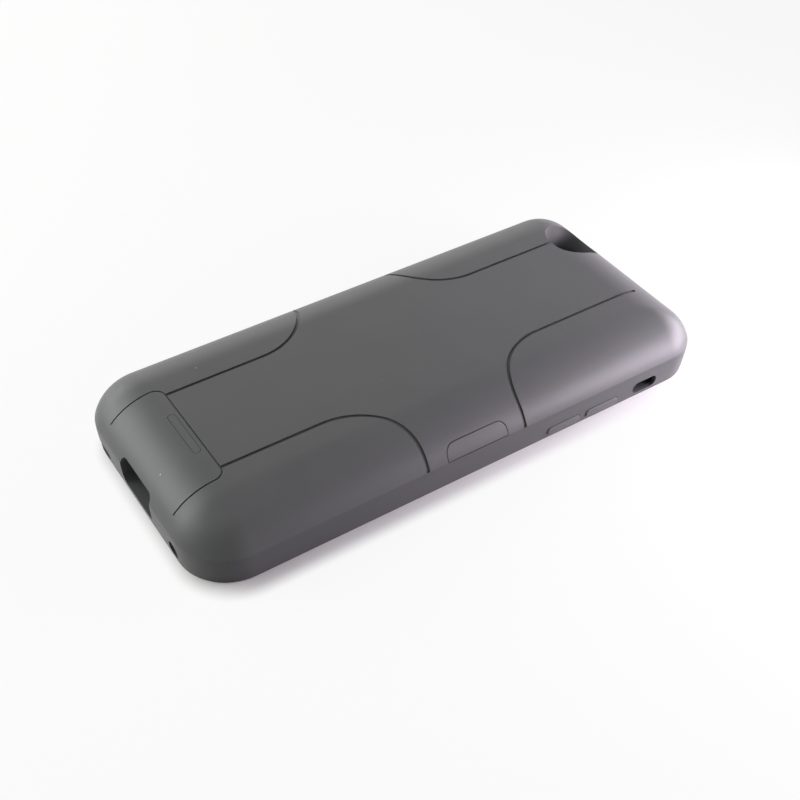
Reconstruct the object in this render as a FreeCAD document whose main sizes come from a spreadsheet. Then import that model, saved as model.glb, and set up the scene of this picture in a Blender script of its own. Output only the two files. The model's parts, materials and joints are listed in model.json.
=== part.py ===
import FreeCAD, Part
import math
import os
import re
import Sketcher

# A battery case for a slim phone. It lies face down: the front rim is on Z = 0 and the rounded back
# is up. +Y points to the camera end, +X to the side with the keys, and the charging opening is at -Y.

# Driving sizes in millimetres. Each becomes one named cell of the document's sheet.
SIZES = {
    # Outer form: widest at the crease where shell and tray part, its back's edges arcs of an ellipse
    "case_width": 70.4,
    "case_length": 153.2,
    "case_depth": 18.0,
    "corner_low": 14.2,
    "corner_high": 11.8,
    "corner_top": 1.5,
    "edge_reach": 15.0,
    "edge_rise": 13.0,
    "rim_tuck": 0.7,
    "parting_height": 8.6,
    "shell_wall": 1.8,
    # Four thick moulded grooves: a run along the back, an arc, and a run down the side
    "groove_width": 0.9,
    "groove_depth": 0.5,
    "groove_apart": 29.6,
    "groove_bend": 18.0,
    "groove_side_apart": 29.6,
    "groove_stop": 9.3,
    # Thin line round the end panel, open towards the end of the case
    "panel_width": 35.6,
    "panel_back": 16.5,
    "panel_corner": 3.0,
    "panel_line": 0.4,
    "panel_stop": 2.3,
    # Light guide, whose bar shows in the end panel
    "bar_length": 15.4,
    "bar_width": 2.1,
    "bar_setback": 2.2,
    "bar_gap": 0.1,
    "guide_flange": 0.8,
    "guide_drop": 0.3,
    "guide_web": 1.2,
    # Camera hole: its size at the phone, how far each side flares up to the back, and its collar
    "camera_length": 14.6,
    "camera_width": 9.0,
    "camera_middle": -14.8,
    "camera_setback": 5.1,
    "camera_corner": 4.2,
    "camera_flare": 2.2,
    "camera_flare_near": 1.4,
    "camera_flare_far": 6.6,
    "camera_flare_corner": 7.0,
    "collar_wall": 1.2,
    # Phone recess in the tray, as deep as the phone and as wide and long as the walls leave it
    "phone_depth": 7.1,
    "phone_corner": 10.2,
    "phone_edge": 3.2,
    "side_wall": 1.6,
    "top_wall": 1.8,
    "chin_length": 13.0,
    "lip_height": 1.2,
    "lip_reach": 1.0,
    "floor_thickness": 1.0,
    "spigot_inset": 3.4,
    "spigot_corner": 11.0,
    # Chin between the phone's end and the charging end
    "chin_wall": 1.8,
    "end_wall": 5.6,
    "pocket_width": 28.0,
    "pocket_floor": 1.6,
    "charge_width": 16.6,
    "charge_bottom": 2.4,
    "charge_top": 11.0,
    "charge_corner": 2.0,
    "charge_depth": 4.1,
    "headphone_diameter": 4.6,
    "headphone_middle": 19.8,
    "headphone_height": 3.6,
    "speaker_length": 11.4,
    "speaker_slot": 3.0,
    "speaker_middle": -22.7,
    "speaker_height": 2.8,
    # Power key on the crease, with the bar that keeps it in and presses the switch
    "key_middle": 0.3,
    "key_length": 18.4,
    "key_top": 12.8,
    "key_corner": 2.6,
    "key_gap": 0.2,
    "key_thickness": 1.9,
    "key_travel": 0.4,
    "key_bar_overhang": 1.1,
    "key_bar_bottom": 10.0,
    "key_bar_height": 1.4,
    "key_bar_gap": 0.3,
    "key_bar_thickness": 1.05,
    "key_stem_length": 15.0,
    # Volume keys and mute slot in the band
    "volume_length": 10.9,
    "volume_height": 2.6,
    "volume_bottom": 1.25,
    "volume_down_setback": 48.6,
    "volume_up_setback": 35.8,
    "volume_flange": 0.9,
    "volume_flange_thickness": 0.5,
    "volume_seat": 0.7,
    "volume_rest_gap": 0.15,
    "volume_edge": 0.3,
    "mute_length": 8.1,
    "mute_height": 3.8,
    "mute_bottom": 1.35,
    "mute_setback": 20.9,
    # Battery cell on its tape, with its guard board, tabs and leads
    "cell_side_room": 10.2,
    "cell_end_room": 32.6,
    "cell_top_room": 1.3,
    "cell_corner": 1.6,
    "cell_setback": 24.6,
    "tape_inset": 5.0,
    "tape_thickness": 0.2,
    "board_thickness": 1.0,
    "guard_width": 30.0,
    "guard_length": 4.0,
    "tab_width": 4.0,
    "tab_apart": 16.0,
    "tab_height": 2.4,
    "tab_thickness": 0.15,
    "lead_diameter": 0.9,
    "lead_span": 4.0,
    "lead_apart": 6.0,
    # Control board over the chin, and what stands on it
    "control_width": 34.0,
    "control_length": 15.5,
    "control_gap": 0.5,
    "light_length": 1.6,
    "light_width": 0.8,
    "light_height": 0.6,
    "light_pitch": 3.6,
    "light_air": 0.3,
    "parts_setback": 5.6,
    "chip_size": 4.0,
    "chip_height": 0.9,
    "chip_middle": -12.0,
    "coil_size": 5.5,
    "coil_top_room": 2.9,
    "coil_middle": 12.0,
    "coil_corner": 0.8,
    "capacitor_length": 1.6,
    "capacitor_width": 0.8,
    "capacitor_height": 0.7,
    "capacitor_pitch": 2.2,
    # Charging socket hung under the control board
    "socket_width": 7.6,
    "socket_height": 2.8,
    "socket_depth": 5.0,
    "socket_setback": 3.1,
    "socket_corner": 0.9,
    "socket_sheet": 0.25,
    "socket_fit": 0.1,
    "tongue_width": 4.4,
    "tongue_thickness": 0.6,
    "tongue_recess": 0.6,
    "tongue_back": 1.4,
    # Plug that enters the phone, and the block that holds it
    "plug_width": 6.7,
    "plug_thickness": 1.5,
    "plug_reach": 6.6,
    "plug_fit": 0.1,
    "plug_tip": 0.35,
    "base_width": 12.0,
    "base_length": 2.7,
    # Switch behind the power key, its small board and the ribbon to the control board
    "switch_length": 4.6,
    "switch_depth": 3.0,
    "switch_height": 2.0,
    "plunger_diameter": 1.2,
    "plunger_length": 1.3,
    "plunger_gap": 0.1,
    "plunger_room": 0.2,
    "switch_board_length": 14.0,
    "switch_board_width": 4.4,
    "switch_board_thickness": 0.6,
    "switch_board_lead": 0.3,
    "ribbon_width": 2.4,
    "ribbon_thickness": 0.15,
    "ribbon_inset": 2.5,
    # Corners that are meant to look sharp, and how far a cutting solid runs past the wall that it cuts
    "sharp_corner": 0.2,
    "overcut": 1.0,
}

doc = FreeCAD.newDocument("battery_case")
sheet = doc.addObject("Spreadsheet::Sheet", "Sizes")
for line, (alias, size) in enumerate(SIZES.items(), start=1):
    sheet.set(f"A{line}", alias)
    sheet.set(f"B{line}", str(size))
    sheet.setAlias(f"B{line}", alias)
doc.recompute()

# Which way a sketch's own x, y and normal point in each plane, and the axis along its normal
X, Y, Z = (FreeCAD.Vector(*axis) for axis in ((1, 0, 0), (0, 1, 0), (0, 0, 1)))
PLANES = {
    "XY": FreeCAD.Rotation(X, Y, Z),
    "XZ": FreeCAD.Rotation(X, Z, -Y),
    "YZ": FreeCAD.Rotation(Y, Z, X),
}
NORMAL = {"XY": "z", "XZ": "y", "YZ": "x"}

# Places of the level lines, on the back from the crease to its flat and on the band down to its rim
STATIONS = (0, 0.05, 0.13, 0.25, 0.42, 0.62, 0.82, 1)
BAND_STATIONS = (0, 0.4, 0.75, 1)
# Share of a slot's height that its corner radius takes, for ends that are all but half circles
ROUND_END = 0.42

# Height of the middle of the ellipse that the back's edges follow
EDGE_START = "(case_depth - edge_rise)"


def cosine_at(level, skin):
    """The cosine of the ellipse's angle where the back's curve, a skin's depth inside it, has a level."""
    return f"sqrt(1 - ((({level}) - {EDGE_START}) / (edge_rise - {skin}))^2)"


def inset_at(level, skin):
    """How far the back's curve, a skin's depth inside it, lies inside the crease at a level."""
    turned = f"{cosine_at(level, skin)} / {cosine_at('parting_height', skin)}"
    return f"({skin} + (edge_reach - {skin}) * (1 - {turned}))"


# Places that several pieces share, written with the cells' names
SIDE = "case_width / 2"
RECESS_X = f"({SIDE} - side_wall)"
END = "case_length / 2"
CEILING = "(case_depth - shell_wall)"
RECESS_TOP_Y = f"({END} - top_wall)"
RECESS_END_Y = f"(chin_length - {END})"
RECESS_FLOOR = "(lip_height + phone_depth)"
TRAY_TOP = f"({RECESS_FLOOR} + floor_thickness)"
BOARD_TOP = f"({TRAY_TOP} + board_thickness)"
CHIN_Y = f"({RECESS_END_Y} - chin_wall)"
PLUG_Z = "(lip_height + phone_depth / 2)"
PANEL_Y = f"(panel_back - {END})"
BAR_Y = f"({PANEL_Y} - bar_setback)"
PARTS_Y = f"({PANEL_Y} - parts_setback)"
CAMERA_Y = f"({END} - camera_setback - camera_width / 2)"
CELL_Y = f"(cell_setback - {END})"
CONTROL_Y = f"({inset_at(BOARD_TOP, 'shell_wall')} + control_gap - {END})"
CONTROL_END_Y = f"({CONTROL_Y} + control_length)"
SOCKET_Y = f"(socket_setback - {END})"
SOCKET_BACK_Y = f"({SOCKET_Y} + socket_depth - socket_sheet)"
SOCKET_Z = f"({TRAY_TOP} - socket_height / 2)"
SEAT_X = f"({RECESS_X} + volume_seat)"
FLANGE_X = f"({SEAT_X} - volume_rest_gap)"
VOLUME_BACK_X = f"({FLANGE_X} - volume_flange_thickness)"
BAR_TOP = "(key_bar_bottom + key_bar_height)"
BAR_X = f"({SIDE} - {inset_at(BAR_TOP, 'shell_wall')} - key_bar_gap)"
BAR_BACK_X = f"({BAR_X} - key_bar_thickness)"
BAR_Z = "(key_bar_bottom + key_bar_height / 2)"
SWITCH_X = f"({BAR_BACK_X} - key_travel - plunger_room - plunger_gap)"
SWITCH_Z = f"({TRAY_TOP} + switch_board_thickness)"
RIBBON_X = f"({SWITCH_X} - switch_depth / 3)"
RIBBON_Y = f"({CONTROL_END_Y} - ribbon_inset)"


def cells(text):
    """An expression in which each size's name points at its cell."""
    return re.sub(r"[a-z_]+", lambda word: f"Sizes.{word[0]}" if word[0] in SIZES else word[0], text)


def value(text):
    """The number that an expression gives."""
    return float(sheet.evalExpression(cells(text)))


def bind(item, settings):
    """Ties properties of an object to the sheet."""
    for setting, text in settings.items():
        item.setExpression(setting, cells(text))
    return item


def centred(middle, length):
    """The low and high end of a length about a middle."""
    return f"({middle}) - ({length}) / 2", f"({middle}) + ({length}) / 2"


def box(name, x, y, z):
    """A block between a low and a high end along each axis."""
    item = doc.addObject("Part::Box", name)
    settings = {}
    for axis, side, (low, high) in (("x", "Length", x), ("y", "Width", y), ("z", "Height", z)):
        settings[side] = f"({high}) - ({low})"
        settings[f"Placement.Base.{axis}"] = low
    return bind(item, settings)


def rod(name, plane, middle, diameter, span):
    """A round bar square to a plane. Its middle is given in the plane's two axes."""
    item = doc.addObject("Part::Cylinder", name)
    item.Placement.Rotation = PLANES[plane]
    start = span[1] if plane == "XZ" else span[0]
    settings = {"Radius": f"({diameter}) / 2", "Height": f"({span[1]}) - ({span[0]})"}
    settings[f"Placement.Base.{NORMAL[plane]}"] = start
    for axis, text in zip(plane.lower(), middle):
        settings[f"Placement.Base.{axis}"] = text
    return bind(item, settings)


def outline(name, plane, level, across, up, radii):
    """A sketched rectangle with round corners, which start at the low left and go anticlockwise."""
    sketch = doc.addObject("Sketcher::SketchObject", name)
    sketch.Placement.Rotation = PLANES[plane]
    bind(sketch, {f"Placement.Base.{NORMAL[plane]}": level})
    left, right, low, high = (value(text) for text in (*across, *up))
    for turn, text in enumerate(radii):
        radius = value(text)
        x = left + radius if turn in (0, 3) else right - radius
        y = low + radius if turn in (0, 1) else high - radius
        start = math.pi * (1 + turn / 2)
        circle = Part.Circle(FreeCAD.Vector(x, y, 0), Z, radius)
        sketch.addGeometry(Part.ArcOfCircle(circle, start, start + math.pi / 2), False)
    for turn in range(4):
        after = (turn + 1) % 4
        straight = Part.LineSegment(sketch.Geometry[turn].EndPoint, sketch.Geometry[after].StartPoint)
        sketch.addGeometry(straight, False)
    for turn in range(4):
        side = turn + 4
        sketch.addConstraint(Sketcher.Constraint("Tangent", turn, 2, side, 1))
        sketch.addConstraint(Sketcher.Constraint("Tangent", side, 2, (turn + 1) % 4, 1))
        sketch.addConstraint(Sketcher.Constraint("Vertical" if turn % 2 else "Horizontal", side))
    sides = (("low", "DistanceY", up[0]), ("right", "DistanceX", across[1]),
             ("high", "DistanceY", up[1]), ("left", "DistanceX", across[0]))
    for turn, (label, kind, text) in enumerate(sides):
        number = sketch.addConstraint(Sketcher.Constraint(kind, -1, 1, turn + 4, 1, value(text)))
        sketch.renameConstraint(number, label)
        bind(sketch, {f"Constraints.{label}": text})
    for turn, text in enumerate(radii):
        number = sketch.addConstraint(Sketcher.Constraint("Radius", turn, value(text)))
        sketch.renameConstraint(number, f"corner_{turn}")
        bind(sketch, {f"Constraints.corner_{turn}": text})
    return sketch


def prism(name, plane, span, across, up, radii):
    """A rounded rectangle drawn out square to its plane, between the two ends of its span."""
    item = doc.addObject("Part::Extrusion", name)
    start = span[1] if plane == "XZ" else span[0]
    item.Base = outline(f"{name}_outline", plane, start, across, up, radii)
    item.DirMode = "Normal"
    item.Solid = True
    return bind(item, {"LengthFwd": f"({span[1]}) - ({span[0]})"})


def slot(name, plane, span, across, up):
    """A prism with round ends."""
    return prism(name, plane, span, across, up, [f"{ROUND_END} * (({up[1]}) - ({up[0]}))"] * 4)


def loft(name, outlines, ruled=False):
    """A solid through a stack of outlines."""
    item = doc.addObject("Part::Loft", name)
    item.Sections = outlines
    item.Solid = True
    item.Ruled = ruled
    return item


def fuse(name, *items):
    item = doc.addObject("Part::MultiFuse", name)
    item.Shapes = items
    return item


def cut(name, base, *tools):
    item = doc.addObject("Part::Cut", name)
    item.Base = base
    item.Tool = tools[0] if len(tools) == 1 else fuse(f"{name}_tools", *tools)
    return item


def common(name, first, second):
    item = doc.addObject("Part::MultiCommon", name)
    item.Shapes = [first, second]
    return item


def group(name, *items):
    """Separate solids kept as one piece."""
    item = doc.addObject("Part::Compound", name)
    item.Links = items
    return item


def rounded(name, base, size, axis, level):
    """Rounds the edges of a solid that lie wholly at one level of an axis."""
    doc.recompute()
    at = value(level)
    edges = [number for number, edge in enumerate(base.Shape.Edges, start=1)
             if all(abs(getattr(end.Point, axis) - at) < 1e-6 for end in edge.Vertexes)]
    item = doc.addObject("Part::Fillet", name)
    item.Base = base
    item.Edges = [(number, value(size), value(size)) for number in edges]
    return item


pieces = []


def piece(label, item):
    """Marks an object as a finished piece, under the name of its file."""
    item.Label = label
    pieces.append(item)
    return item


# Rounded slab: the outer form, and the same form a skin's depth inside it


def ring(name, level, inset, skin="0"):
    """One level line of the slab. Its corners get smaller by the inset, down to those of the flat back."""
    side = f"({SIDE} - {skin} - ({inset}))"
    end = f"({END} - {skin} - ({inset}))"
    low = f"max(corner_low - {skin} - ({inset}); corner_top)"
    high = f"max(corner_high - {skin} - ({inset}); corner_top)"
    return outline(name, "XY", level, (f"-{side}", side), (f"-{end}", end), [low, low, high, high])


def rounded_back(name, skin):
    """The slab from the crease up."""
    first = cosine_at("parting_height", skin)
    rings = []
    for number, share in enumerate(STATIONS):
        level = f"{EDGE_START} + (edge_rise - {skin}) * sqrt(1 - ({first} * {1 - share})^2)"
        rings.append(ring(f"{name}_ring_{number}", level, f"(edge_reach - {skin}) * {share}", skin))
    return loft(name, rings)


def band(name):
    """The slab below the crease, tucked in towards the front rim."""
    rings = []
    for number, share in enumerate(BAND_STATIONS):
        level = f"parting_height * {1 - share}"
        rings.append(ring(f"{name}_ring_{number}", level, f"rim_tuck * {share ** 2}"))
    return loft(name, rings)


outer_form = rounded_back("outer_form", "0")
groove_floor = rounded_back("groove_floor", "groove_depth")
bay_form = rounded_back("bay_form", "shell_wall")

# Openings that pass through both the shell and the tray
CAMERA_ACROSS = centred("camera_middle", "camera_length")
CAMERA_UP = centred(CAMERA_Y, "camera_width")


def grown(ends, by):
    """A low and a high end moved apart."""
    return f"{ends[0]} - ({by})", f"{ends[1]} + ({by})"


def camera_block(name, wall):
    """The flared form of the camera hole, or with a wall added, the outside of its collar."""
    flared_up = (f"{CAMERA_UP[0]} - camera_flare_near", f"{CAMERA_UP[1]} + camera_flare_far")
    low = outline(f"{name}_low", "XY", f"{RECESS_FLOOR} - overcut", grown(CAMERA_ACROSS, wall),
                  grown(CAMERA_UP, wall), [f"camera_corner + {wall}"] * 4)
    high = outline(f"{name}_high", "XY", "case_depth", grown(CAMERA_ACROSS, f"{wall} + camera_flare"),
                   grown(flared_up, wall), [f"camera_flare_corner + {wall}"] * 4)
    return loft(name, [low, high], ruled=True)


camera_hole = camera_block("camera_hole", "0")
charge_opening = prism("charge_opening", "XZ", (f"-{END} - overcut", f"charge_depth - {END}"),
                       centred("0", "charge_width"), ("charge_bottom", "charge_top"), ["charge_corner"] * 4)

# Grooves and the panel's line, as upright walls that the shell's skin is cut with
ABOVE = ("parting_height - overcut", "case_depth + overcut")
QUARTERS = {(1, 1): 180, (-1, 1): 270, (-1, -1): 0, (1, -1): 90}


def groove(side, end):
    """One groove: along the back, round a quarter turn and down the side of the case."""
    name = f"groove_{'near' if side > 0 else 'far'}_{'high' if end > 0 else 'low'}"
    bend_x = f"{side} * (groove_apart / 2 + groove_bend)"
    bend_y = f"{end} * (groove_side_apart / 2 + groove_bend)"
    stop = f"{END} - groove_stop" if end > 0 else PANEL_Y
    along = sorted((bend_y, stop), key=value)
    across = sorted((bend_x, f"{side} * ({SIDE} + overcut)"), key=value)
    run = box(f"{name}_run", centred(f"{side} * groove_apart / 2", "groove_width"), along, ABOVE)
    drop = box(f"{name}_drop", across, centred(f"{end} * groove_side_apart / 2", "groove_width"), ABOVE)
    discs = []
    for part, sign in (("outer", "+"), ("inner", "-")):
        disc = rod(f"{name}_{part}", "XY", (bend_x, bend_y), f"2 * groove_bend {sign} groove_width", ABOVE)
        disc.Placement.Rotation = FreeCAD.Rotation(Z, QUARTERS[side, end])
        disc.Angle = 90
        discs.append(disc)
    return fuse(name, run, drop, cut(f"{name}_bend", *discs))


def panel_block(name, grow, stop):
    """The end panel's outline in plan, widened by a length, down to a stop near the case's end."""
    radii = ["sharp_corner"] * 2 + [f"panel_corner + {grow}"] * 2
    across = centred("0", f"panel_width + 2 * ({grow})")
    return prism(name, "XY", ABOVE, across, (stop, f"{PANEL_Y} + {grow}"), radii)


panel_line = cut("panel_line", panel_block("panel_outside", "panel_line / 2", f"panel_stop - {END}"),
                 panel_block("panel_inside", "-panel_line / 2", f"-{END} - overcut"))
grooves = [groove(side, end) for side, end in QUARTERS]

# Back shell: skin with its grooves, bay, camera collar and openings
KEY_SPAN = (f"{SIDE} - {inset_at('key_top', 'shell_wall')} - overcut", f"{SIDE} + overcut")


def key_block(name, gap, bottom):
    """The power key's outline as seen from the side, drawn in through the wall."""
    radii = ["sharp_corner"] * 2 + [f"key_corner - {gap}"] * 2
    along = centred("key_middle", f"key_length - 2 * {gap}")
    return prism(name, "YZ", KEY_SPAN, along, (bottom, f"key_top - {gap}"), radii)


def bar_block(name, gap, span):
    """The light guide's bar in plan."""
    across = centred("0", f"bar_length - 2 * {gap}")
    return slot(name, "XY", span, across, centred(BAR_Y, f"bar_width - 2 * {gap}"))


skin = cut("skin", outer_form, panel_line, *grooves)
grooved = fuse("grooved", skin, groove_floor)
hollow = cut("hollow", grooved, bay_form)
collar_wall = common("collar_wall", camera_block("collar_block", "collar_wall"), groove_floor)
collar_room = box("collar_room", (f"-{SIDE}", SIDE), (f"-{END}", END), ("parting_height - overcut", TRAY_TOP))
collar = cut("collar", collar_wall, collar_room)
shell = fuse("shell", hollow, collar)
key_slot = key_block("key_slot", "0", "parting_height - overcut")
bar_slot = bar_block("bar_slot", "0", (f"{CEILING} - overcut", "case_depth + overcut"))
piece("back_shell", cut("back_shell", shell, camera_hole, key_slot, charge_opening, bar_slot))

# Front tray: band, floor, chin and lip round the phone's recess
THROUGH_BAND = (f"{RECESS_X} - overcut", f"{SIDE} + overcut")
VOLUME_UP = ("volume_bottom", "volume_bottom + volume_height")
spigot_side = f"({SIDE} - spigot_inset)"
spigot_end = f"({END} - spigot_inset)"
spigot = prism("spigot", "XY", ("parting_height - overcut", TRAY_TOP), (f"-{spigot_side}", spigot_side),
               (f"-{spigot_end}", spigot_end), ["spigot_corner"] * 4)
recess_block = prism("recess_block", "XY", ("lip_height", RECESS_FLOOR), (f"-{RECESS_X}", RECESS_X),
                     (RECESS_END_Y, RECESS_TOP_Y), ["phone_corner"] * 4)
recess = rounded("recess", recess_block, "phone_edge", "z", RECESS_FLOOR)
mouth = prism("mouth", "XY", ("-overcut", "lip_height + overcut"),
              grown((f"-{RECESS_X}", RECESS_X), "-lip_reach"),
              grown((RECESS_END_Y, RECESS_TOP_Y), "-lip_reach"), ["phone_corner - lip_reach"] * 4)
pocket = box("pocket", centred("0", "pocket_width"), (f"end_wall - {END}", CHIN_Y),
             ("pocket_floor", f"{TRAY_TOP} + overcut"))
socket_notch = box("socket_notch", centred("0", "socket_width + 2 * socket_fit"),
                   (f"charge_depth - {END} - overcut", f"end_wall - {END} + overcut"),
                   (f"{TRAY_TOP} - socket_height - socket_fit", f"{TRAY_TOP} + overcut"))
headphone_hole = rod("headphone_hole", "XZ", ("headphone_middle", "headphone_height"), "headphone_diameter",
                     (f"-{END} - overcut", f"{RECESS_END_Y} + lip_reach"))
speaker_slot = slot("speaker_duct", "XZ", (f"-{END} - overcut", f"{RECESS_END_Y} + lip_reach"),
                    centred("speaker_middle", "speaker_length"), centred("speaker_height", "speaker_slot"))
plug_slot = slot("plug_slot", "XZ", (f"{CHIN_Y} - overcut", f"{RECESS_END_Y} + overcut"),
                 centred("0", "plug_width + 2 * plug_fit"), centred(PLUG_Z, "plug_thickness + 2 * plug_fit"))
mute_slot = slot("mute_slot", "YZ", THROUGH_BAND, centred(f"{END} - mute_setback", "mute_length"),
                 ("mute_bottom", "mute_bottom + mute_height"))


def volume_slot(name, middle):
    """A slot for a volume key, with a wider seat for its flange on the phone's side."""
    opening = slot(f"{name}_slot", "YZ", THROUGH_BAND, centred(middle, "volume_length"), VOLUME_UP)
    seat = slot(f"{name}_seat", "YZ", (THROUGH_BAND[0], SEAT_X),
                centred(middle, "volume_length + 2 * (volume_flange + key_gap)"), VOLUME_UP)
    return fuse(f"{name}_opening", opening, seat)


VOLUME_KEYS = {
    "volume_down_key": f"{END} - volume_down_setback",
    "volume_up_key": f"{END} - volume_up_setback",
}
volume_slots = [volume_slot(name, middle) for name, middle in VOLUME_KEYS.items()]
tray_block = fuse("tray_block", band("band"), spigot)
piece("front_tray", cut("front_tray", tray_block, recess, mouth, pocket, socket_notch, camera_hole,
                        charge_opening, headphone_hole, speaker_slot, plug_slot, mute_slot, *volume_slots))

# Keys
key_back = rounded_back("key_back", "key_thickness")
key_skin = cut("key_skin", outer_form, key_back)
key_outline = key_block("key_outline", "key_gap", "parting_height + key_gap")
key_face = common("key_face", key_outline, key_skin)
key_height = ("key_bar_bottom", BAR_TOP)
key_middle_x = f"({SIDE} - {inset_at(BAR_TOP, '0')} - key_thickness / 2)"
key_bar = box("key_bar", (BAR_BACK_X, BAR_X), centred("key_middle", "key_length + 2 * key_bar_overhang"),
              key_height)
key_stem = box("key_stem", (BAR_BACK_X, key_middle_x), centred("key_middle", "key_stem_length"), key_height)
piece("power_key", fuse("power_key", key_face, key_stem, key_bar))

for name, middle in VOLUME_KEYS.items():
    height = grown(VOLUME_UP, "-key_gap")
    along = centred(middle, "volume_length - 2 * key_gap")
    cap = slot(f"{name}_cap", "YZ", (VOLUME_BACK_X, SIDE), along, height)
    flange = slot(f"{name}_flange", "YZ", (VOLUME_BACK_X, FLANGE_X),
                  centred(middle, "volume_length + 2 * volume_flange"), height)
    piece(name, fuse(name, rounded(f"{name}_face", cap, "volume_edge", "x", SIDE), flange))

# Light guide: its bar is flush with the back, and its web comes down over the lights
guide_floor = f"{BOARD_TOP} + light_height + light_air"
flange_top = f"{CEILING} - guide_drop"
flange_bottom = f"({flange_top} - guide_flange)"
guide_bar = common("guide_bar", bar_block("guide_block", "bar_gap", (flange_bottom, "case_depth + overcut")),
                   outer_form)
guide_flange = box("guide_flange", centred("0", "bar_length + 2 * guide_flange"),
                   centred(BAR_Y, "bar_width + 2 * guide_flange"), (flange_bottom, flange_top))
guide_web = box("guide_web", centred("0", "bar_length"), centred(BAR_Y, "guide_web"),
                (guide_floor, flange_top))
piece("light_guide", fuse("light_guide", guide_bar, guide_flange, guide_web))

# Battery cell on its tape, its guard board, tabs and leads
cell_bottom = f"({TRAY_TOP} + tape_thickness)"
cell_side = f"({SIDE} - cell_side_room)"
cell_across = (f"-{cell_side}", cell_side)
cell_span = (CELL_Y, f"{END} - cell_end_room")
piece("cell_tape", box("cell_tape", grown(cell_across, "-tape_inset"), grown(cell_span, "-tape_inset"),
                       (TRAY_TOP, cell_bottom)))
piece("battery_cell", prism("battery_cell", "XZ", cell_span, cell_across,
                            (cell_bottom, f"{CEILING} - cell_top_room"), ["cell_corner"] * 4))
guard_y = f"({CELL_Y} - guard_length)"
piece("protection_board", box("protection_board", centred("0", "guard_width"), (guard_y, CELL_Y),
                              (TRAY_TOP, BOARD_TOP)))
tabs = [box(f"tab_{number}", centred(f"{sign} * tab_apart / 2", "tab_width"),
            (f"{CELL_Y} - tab_thickness", CELL_Y), (BOARD_TOP, f"{BOARD_TOP} + tab_height"))
        for number, sign in enumerate((-1, 1))]
piece("cell_tabs", group("cell_tabs", *tabs))
for name, sign in (("positive_lead", 1), ("negative_lead", -1)):
    lead = doc.addObject("Part::Torus", name)
    lead.Placement.Rotation = PLANES["YZ"]
    lead.Angle3 = 180
    piece(name, bind(lead, {
        "Radius1": "lead_span / 2",
        "Radius2": "lead_diameter / 2",
        "Placement.Base.x": f"{sign} * lead_apart / 2",
        "Placement.Base.y": f"({CONTROL_END_Y} + {guard_y}) / 2",
        "Placement.Base.z": BOARD_TOP,
    }))

# Control board and the parts on it
piece("control_board", box("control_board", centred("0", "control_width"), (CONTROL_Y, CONTROL_END_Y),
                           (TRAY_TOP, BOARD_TOP)))


def row(name, y, pitch, length, width, height, count=4):
    """A row of small parts along X on the control board."""
    places = [f"{number - (count - 1) / 2} * {pitch}" for number in range(count)]
    return group(name, *[box(f"{name}_{number}", centred(x, length), centred(y, width),
                             (BOARD_TOP, f"{BOARD_TOP} + {height}")) for number, x in enumerate(places)])


piece("charge_lights", row("charge_lights", BAR_Y, "light_pitch", "light_length", "light_width",
                           "light_height"))
piece("capacitors", row("capacitors", PARTS_Y, "capacitor_pitch", "capacitor_width", "capacitor_length",
                        "capacitor_height"))
piece("charge_chip", box("charge_chip", centred("chip_middle", "chip_size"), centred(PARTS_Y, "chip_size"),
                         (BOARD_TOP, f"{BOARD_TOP} + chip_height")))
coil_span = (BOARD_TOP, f"{CEILING} - coil_top_room")
piece("inductor", prism("inductor", "XY", coil_span, centred("coil_middle", "coil_size"),
                        centred(PARTS_Y, "coil_size"), ["coil_corner"] * 4))

# Charging socket: a folded steel shell with a tongue inside
socket_across = centred("0", "socket_width")
socket_up = centred(SOCKET_Z, "socket_height")
socket_radii = ["socket_corner", "socket_corner", "2 * socket_sheet", "2 * socket_sheet"]
socket_block = prism("socket_block", "XZ", (SOCKET_Y, f"{SOCKET_Y} + socket_depth"), socket_across, socket_up,
                     socket_radii)
socket_inside = prism("socket_inside", "XZ", (f"{SOCKET_Y} - overcut", SOCKET_BACK_Y),
                      grown(socket_across, "-socket_sheet"), grown(socket_up, "-socket_sheet"),
                      [f"{radius} - socket_sheet" for radius in socket_radii])
piece("charging_socket", cut("charging_socket", socket_block, socket_inside))
tongue = box("tongue", centred("0", "tongue_width"), (f"{SOCKET_Y} + tongue_recess", SOCKET_BACK_Y),
             centred(SOCKET_Z, "tongue_thickness"))
tongue_root = box("tongue_root", centred("0", "socket_width - 2 * socket_corner"),
                  (f"{SOCKET_BACK_Y} - tongue_back", SOCKET_BACK_Y), grown(socket_up, "-socket_sheet"))
piece("socket_tongue", fuse("socket_tongue", tongue, tongue_root))

# Phone plug and its base
plug_tip_y = f"{RECESS_END_Y} + plug_reach"
plug_blade = slot("plug_blade", "XZ", (CHIN_Y, plug_tip_y), centred("0", "plug_width"),
                  centred(PLUG_Z, "plug_thickness"))
piece("phone_plug", rounded("phone_plug", plug_blade, "plug_tip", "y", plug_tip_y))
piece("plug_base", box("plug_base", centred("0", "base_width"), (f"{CHIN_Y} - base_length", CHIN_Y),
                       ("pocket_floor", TRAY_TOP)))

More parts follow.
